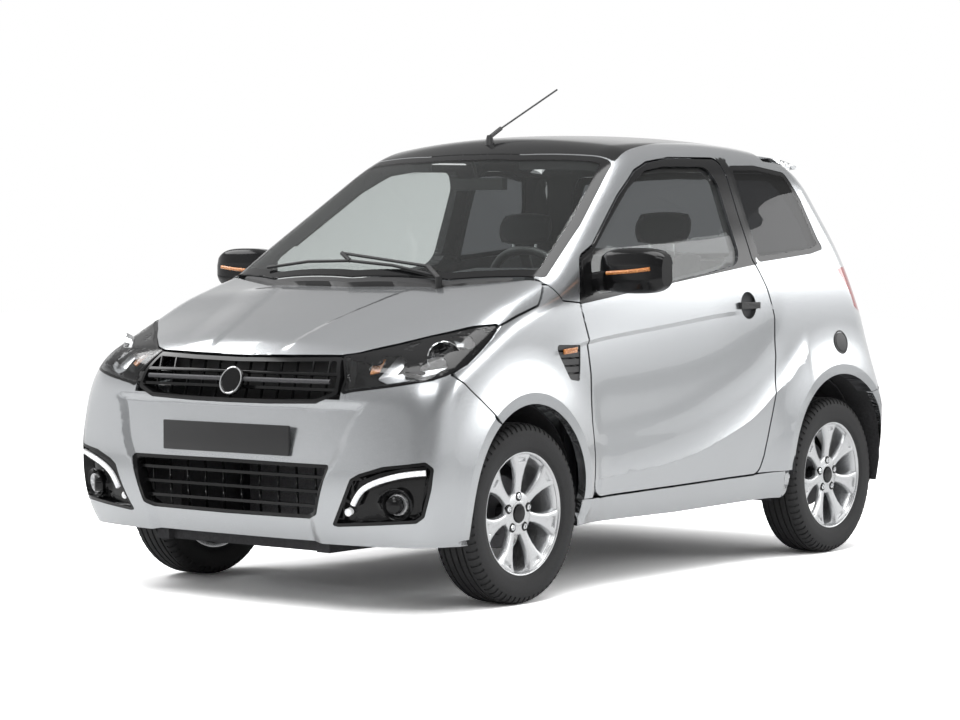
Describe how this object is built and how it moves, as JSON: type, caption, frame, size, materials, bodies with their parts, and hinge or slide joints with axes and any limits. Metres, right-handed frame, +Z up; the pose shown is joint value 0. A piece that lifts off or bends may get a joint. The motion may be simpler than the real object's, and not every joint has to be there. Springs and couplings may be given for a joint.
{
  "type": "microcar",
  "caption": "Short two-seat microcar with a hollow cabin, opening doors, bonnet and tailgate, coupled steering and rolling wheels.",
  "frame": {"origin": "on the ground, below the middle of the length and the width", "axes": "+X points ahead along the length, +Y to the left, +Z up"},
  "size_m": [2.7573, 1.87, 1.6315],
  "materials": {
    "paint": "glossy metallic silver",
    "gloss_black": "glossy",
    "black_plastic": "satin",
    "clear_glass": "clear",
    "tinted_glass": "dark tint",
    "lens": "clear",
    "lamp_bowl": "bright",
    "red_lens": "glossy",
    "dark_metal": "dull",
    "fabric": "woven",
    "tyre": "dull",
    "alloy": "painted silver"
  },
  "bodies": {
    "body": {"front_wings": "paint", "wing_vents": "black_plastic", "side_frame_left": "paint", "side_frame_right": "paint", "roof_panel": "gloss_black", "windscreen": "clear_glass", "scuttle": "black_plastic", "quarter_windows": "tinted_glass", "headlamps": "lamp_bowl", "headlamp_lenses": "lens", "tail_lamps": "red_lens", "front_bumper": "paint", "rear_bumper": "paint", "sills": "paint", "upper_grille": "black_plastic", "lower_grille": "black_plastic", "fog_lamps": "black_plastic", "front_frame": "dark_metal", "rear_axle": "dark_metal", "floor_pan": "dark_metal", "motor": "dark_metal", "battery": "black_plastic", "seats": "fabric", "seat_bases": "dark_metal", "dashboard": "black_plastic", "cabin_mirror": "black_plastic", "wiper": "black_plastic", "aerial": "black_plastic"},
    "bonnet": {"bonnet": "paint"},
    "door_left": {"door_left": "paint", "door_glass_left": "clear_glass", "door_mirror_left": "gloss_black"},
    "door_right": {"door_right": "paint", "door_glass_right": "clear_glass", "door_mirror_right": "gloss_black"},
    "tailgate": {"tailgate": "paint", "tailgate_glass": "clear_glass"},
    "steering_wheel": {"steering_wheel": "black_plastic"},
    "knuckle_left": {"knuckle_left": "dark_metal"},
    "knuckle_right": {"knuckle_right": "dark_metal"},
    "wheel_front_left": {"tyre_front_left": "tyre", "rim_front_left": "alloy"},
    "wheel_front_right": {"tyre_front_right": "tyre", "rim_front_right": "alloy"},
    "wheel_rear_left": {"tyre_rear_left": "tyre", "rim_rear_left": "alloy"},
    "wheel_rear_right": {"tyre_rear_right": "tyre", "rim_rear_right": "alloy"}
  },
  "joints": [
    {"name": "bonnet_hinge", "type": "hinge", "parent": "body", "child": "bonnet", "pos_m": [0.636, 0, 0.968], "axis": [0, -1, 0], "range_deg": [0, 50]},
    {"name": "door_left_hinge", "type": "hinge", "parent": "body", "child": "door_left", "pos_m": [0.375, 0.69095, 0.42], "axis": [0, 0.0155, -0.9999], "range_deg": [0, 60]},
    {"name": "door_right_hinge", "type": "hinge", "parent": "body", "child": "door_right", "pos_m": [0.375, -0.69095, 0.42], "axis": [0, 0.0155, 0.9999], "range_deg": [0, 60]},
    {"name": "tailgate_hinge", "type": "hinge", "parent": "body", "child": "tailgate", "pos_m": [-0.81085, 0, 1.45887], "axis": [0, 1, 0], "range_deg": [0, 75]},
    {"name": "steer_left", "type": "hinge", "parent": "body", "child": "knuckle_left", "pos_m": [0.802, 0.556, 0.275], "axis": [0, 0, 1], "range_deg": [-30, 30]},
    {"name": "steer_right", "type": "hinge", "parent": "body", "child": "knuckle_right", "pos_m": [0.802, -0.556, 0.275], "axis": [0, 0, 1], "range_deg": [-30, 30]},
    {"name": "steering_wheel_turn", "type": "hinge", "parent": "body", "child": "steering_wheel", "pos_m": [0.19858, 0.3, 0.91434], "axis": [-0.8988, 0, 0.4384], "range_deg": [-420, 420]},
    {"name": "wheel_front_left_spin", "type": "hinge", "parent": "knuckle_left", "child": "wheel_front_left", "pos_m": [0.802, 0.6335, 0.275], "axis": [0, 1, 0], "continuous": true},
    {"name": "wheel_front_right_spin", "type": "hinge", "parent": "knuckle_right", "child": "wheel_front_right", "pos_m": [0.802, -0.6335, 0.275], "axis": [0, 1, 0], "continuous": true},
    {"name": "wheel_rear_left_spin", "type": "hinge", "parent": "body", "child": "wheel_rear_left", "pos_m": [-1.014, 0.6335, 0.275], "axis": [0, 1, 0], "continuous": true},
    {"name": "wheel_rear_right_spin", "type": "hinge", "parent": "body", "child": "wheel_rear_right", "pos_m": [-1.014, -0.6335, 0.275], "axis": [0, 1, 0], "continuous": true}
  ],
  "couplings": [
    {"joint": "steer_right", "follows": "steer_left", "ratio": 1},
    {"joint": "steering_wheel_turn", "follows": "steer_left", "ratio": 14}
  ]
}
